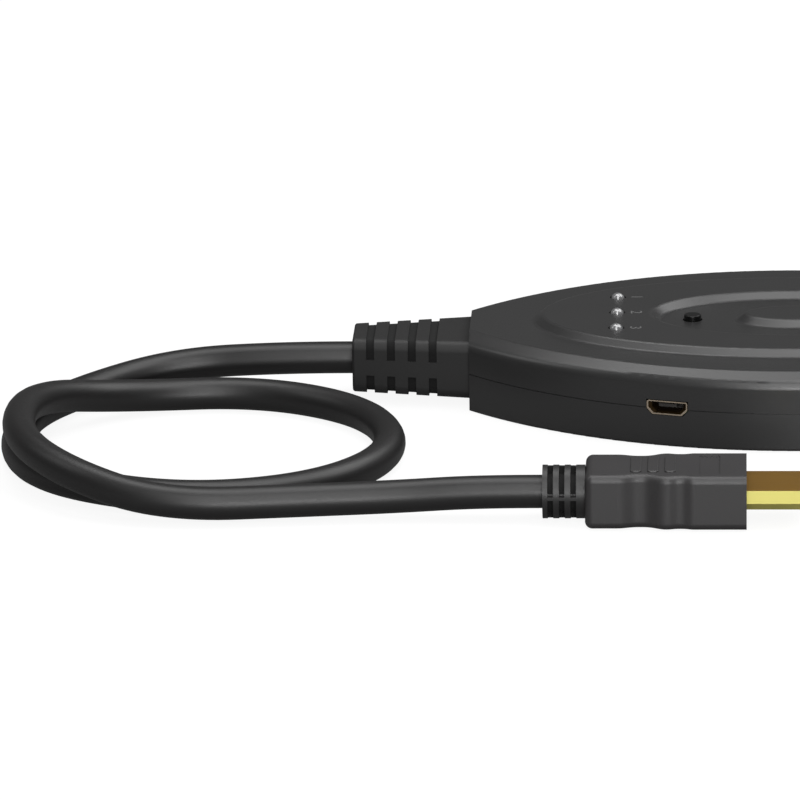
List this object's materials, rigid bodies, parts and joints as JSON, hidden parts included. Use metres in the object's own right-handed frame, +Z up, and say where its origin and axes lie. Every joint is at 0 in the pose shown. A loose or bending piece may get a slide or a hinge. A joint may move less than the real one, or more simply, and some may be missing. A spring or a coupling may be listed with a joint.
{
  "type": "hdmi switch box",
  "caption": "Leaf-shaped video switch box with a captive lead and plug, sockets across its wide end, status lamps, a power socket and a select button.",
  "frame": {"origin": "under the middle of the casing, on the surface that it rests on", "axes": "+X along the casing from the lead towards the input sockets, +Z up through the lid, +Y to the side away from the power socket"},
  "size_m": [0.2025, 0.142, 0.0192],
  "materials": {
    "casing_plastic": "fine matt texture",
    "screw_steel": "blackened steel",
    "board_laminate": "solder mask",
    "gold_plate": "gold plated",
    "black_nylon": "moulded",
    "tinned_metal": "tinned",
    "tan_ceramic": "fired",
    "black_gloss": "gloss",
    "clear_resin": "clear",
    "jacket": "satin vinyl",
    "wire_jacket": "satin vinyl",
    "grip_vinyl": "matt vinyl"
  },
  "bodies": {
    "casing": {"bottom_shell": "casing_plastic", "capacitors": "tan_ceramic", "case_screws": "screw_steel", "circuit_board": "board_laminate", "clock_crystal": "tinned_metal", "cord_held_end": "jacket", "cord_relief": "jacket", "input_socket_1_contacts": "gold_plate", "input_socket_1_shell": "gold_plate", "input_socket_1_tongue": "black_nylon", "input_socket_2_contacts": "gold_plate", "input_socket_2_shell": "gold_plate", "input_socket_2_tongue": "black_nylon", "input_socket_3_contacts": "gold_plate", "input_socket_3_shell": "gold_plate", "input_socket_3_tongue": "black_nylon", "lamp_1": "clear_resin", "lamp_2": "clear_resin", "lamp_3": "clear_resin", "lamp_leads": "tinned_metal", "lead_cord": "jacket", "lead_wires": "wire_jacket", "plug_body": "grip_vinyl", "plug_collar": "jacket", "plug_contacts": "gold_plate", "plug_cord_end": "jacket", "plug_insulator": "black_nylon", "plug_shell": "gold_plate", "plug_wires": "wire_jacket", "power_socket_contacts": "gold_plate", "power_socket_shell": "gold_plate", "power_socket_tongue": "black_nylon", "resistors": "black_nylon", "switch_chip": "black_nylon", "switch_chip_leads": "tinned_metal", "switch_cover": "tinned_metal", "switch_dome": "tinned_metal", "switch_housing": "black_nylon", "switch_legs": "tinned_metal", "top_shell": "casing_plastic", "voltage_regulator": "black_nylon"},
    "button": {"select_button": "black_gloss"}
  },
  "joints": [
    {"name": "button_press", "type": "slide", "parent": "casing", "child": "button", "axis": [0, 0, -1], "range_m": [0, 0.00025], "stiffness_N_per_m": 1200, "springref_m": -0.0003}
  ]
}
